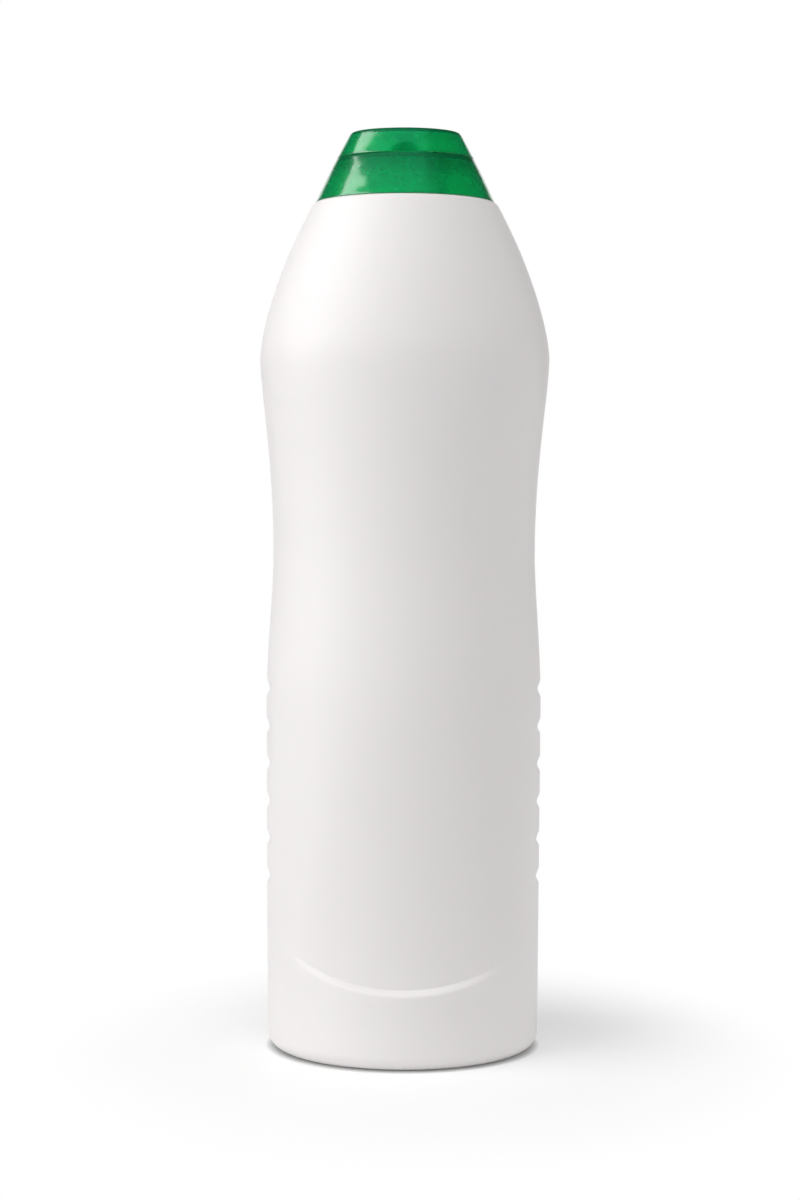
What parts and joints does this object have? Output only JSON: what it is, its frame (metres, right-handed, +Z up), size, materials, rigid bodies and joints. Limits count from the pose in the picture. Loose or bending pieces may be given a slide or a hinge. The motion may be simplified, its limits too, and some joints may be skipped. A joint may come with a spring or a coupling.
{
  "type": "detergent bottle",
  "caption": "White oval squeeze bottle with a waist, side grip grooves and a translucent green flip-top cap with a hinged lid.",
  "frame": {"origin": "middle of the base, on the surface that the bottle stands on", "axes": "+Z up along the bottle, +X to the right across the front, front at -Y with the thumb scoop, hinge at +Y"},
  "size_m": [0.0816, 0.0628, 0.2587],
  "materials": {
    "white_hdpe": "blown HDPE, satin",
    "green_pp": "moulded PP, glossy and translucent"
  },
  "bodies": {
    "bottle_body": {"bottle": "white_hdpe", "cap_base": "green_pp"},
    "lid_body": {"flip_lid": "green_pp"}
  },
  "joints": [
    {"name": "lid_hinge", "type": "hinge", "parent": "bottle_body", "child": "lid_body", "pos_m": [0, 0.01396, 0.2514], "axis": [-1, 0, 0], "range_deg": [0, 150]}
  ]
}
